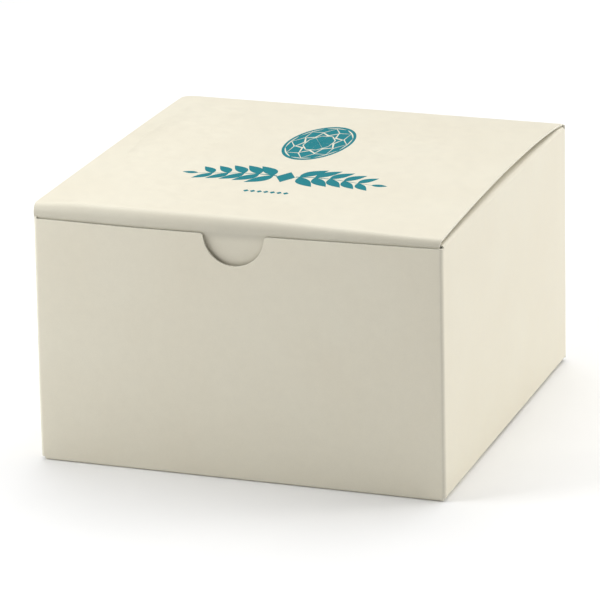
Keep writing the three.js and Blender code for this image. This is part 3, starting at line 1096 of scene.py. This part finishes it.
def sprig_ornament(centre, half_length):
    """A symmetric sprig: a waved stem with paired leaves, and a lozenge in the middle."""
    patches = []
    pairs = 5
    leaf_length = 10.6
    leaf_width = 4.3
    stem_half = 0.33
    spread_angle = math.radians(52)
    x, y = centre

    def on_stem(sign, share):
        """A point on the stem, at a share of its length to one side of the middle."""
        return x + sign * half_length * share, y + 1.4 * np.sin(share * math.pi * 1.5)

    for sign in (1, -1):
        t = np.linspace(0.1, 0.97, 40)
        stem_x, stem_y = on_stem(sign, t)
        half = stem_half * (1.05 - t)
        stem = np.array([
            np.stack([stem_x, stem_y - half], -1),
            np.stack([stem_x, stem_y + half], -1),
        ])
        patches.append(stem if sign > 0 else stem[:, ::-1])
        for k in range(pairs):
            root = on_stem(sign, 0.14 + 0.8 * k / pairs)
            size = 1.0 - 0.35 * k / pairs
            for up in (1, -1):
                heading = spread_angle * up
                angle = heading if sign > 0 else math.pi - heading
                bend = 0.12 * up * sign
                patches.append(leaf_patch(root, angle, leaf_length * size, leaf_width * size, bend))
        angle = 0.0 if sign > 0 else math.pi
        patches.append(leaf_patch(on_stem(sign, 0.93), angle, 5.0, 2.2, 0.0))
    patches.append(lozenge(x, y, 3, 5.2))
    return patches


def dash_ornament(centre, half_length, count):
    """A short row of small lozenges."""
    pitch = 2 * half_length / count
    start = centre[0] - half_length
    return [
        lozenge(start + pitch * (k + 0.5), centre[1], 0.42 * pitch, 1.1, 2)
        for k in range(count)
    ]


# Studio

def area_light(name, place, target, size, power, colour=(1, 1, 1)):
    lamp = bpy.data.lights.new(name, "AREA")
    lamp.shape = "DISK"
    lamp.size = size
    lamp.energy = power
    lamp.color = colour
    light = bpy.data.objects.new(name, lamp)
    light.location = place
    light.rotation_euler = (Vector(target) - Vector(place)).to_track_quat("-Z", "Y").to_euler()
    bpy.context.scene.collection.objects.link(light)


def make_studio():
    """A plain pale floor and surround, with soft light from above, the right and the left."""
    half = 6.0
    mesh = bpy.data.meshes.new("floor")
    corners = [(-half, -half, 0), (half, -half, 0), (half, half, 0), (-half, half, 0)]
    mesh.from_pydata(corners, [], [(0, 1, 2, 3)])
    floor = bpy.data.objects.new("floor", mesh)
    bpy.context.scene.collection.objects.link(floor)
    material, nodes, links, shader = new_material("floor")
    place = nodes.new("ShaderNodeTexCoord").outputs["Object"]
    cloud = noise(nodes, links, place, 0.02, 2)
    tone = ramp(nodes, links, cloud, 0.3, 0.7, (0.9, 0.9, 0.9), (0.92, 0.92, 0.92))
    links.new(tone, shader.inputs["Base Color"])
    shader.inputs["Roughness"].default_value = 0.9
    mesh.materials.append(material)

    world = bpy.data.worlds.new("surround")
    world.use_nodes = True
    background = world.node_tree.nodes["Background"]
    background.inputs["Color"].default_value = (1, 1, 1, 1)
    background.inputs["Strength"].default_value = 0.2
    bpy.context.scene.world = world
    area_light("overhead", (0.1, 0.68, 1.6), (0, 0, 0), 2.6, 36)
    area_light("side", (1.5, 0.75, 0.42), (0, 0, 0.04), 0.75, 11.2, (1, 0.985, 0.955))
    area_light("fill", (-0.4, -0.26, 0.3), (-0.06, -0.06, 0.04), 0.3, 1.5, (0.98, 0.99, 1.0))
    bpy.context.scene.view_settings.view_transform = "Standard"
    bpy.context.scene.view_settings.look = "None"


def make_camera():
    """The camera stands in front, to the right and above, 1.3 m away, with a long lens."""
    azimuth = math.radians(19.852)
    elevation = math.radians(18.99)
    roll = math.radians(-1.43)
    distance = 1291.4
    aim = Vector((0, 0, 38.5))
    shift_right = -2.56
    shift_up = -2.96
    flat = math.cos(elevation)
    back = Vector((math.sin(azimuth) * flat, -math.cos(azimuth) * flat, math.sin(elevation)))
    right = Vector((math.cos(azimuth), math.sin(azimuth), 0))
    up = back.cross(right)
    right_rolled = math.cos(roll) * right + math.sin(roll) * up
    up_rolled = -math.sin(roll) * right + math.cos(roll) * up
    target = aim + shift_right * right_rolled + shift_up * up_rolled
    data = bpy.data.cameras.new("camera")
    data.sensor_width = 36
    data.lens = 252.726
    data.clip_start = 0.05
    data.clip_end = 20
    camera = bpy.data.objects.new("camera", data)
    bpy.context.scene.collection.objects.link(camera)
    turn = Matrix((right_rolled, up_rolled, back)).transposed().to_4x4()
    camera.matrix_world = Matrix.Translation((target + back * distance) * MM) @ turn
    bpy.context.scene.camera = camera


make_camera()
make_walls()
make_lid()
make_tuck_flap()
make_dust_flap("right", 1)
make_dust_flap("left", -1)
make_major_flap("front", 0)
make_major_flap("back", 2)
make_minor_flap("left", 3)
make_minor_flap("right", 1)
finish_cad_nodes()
print_patches("printed_stone", stone_ornament((-1.4, 17.0), 9.6, 18.2))
print_patches("printed_sprig", sprig_ornament((1.0, -20.5), 29.5))
print_patches("printed_dashes", dash_ornament((0.3, -36.0), 7.3, 7))
make_studio()
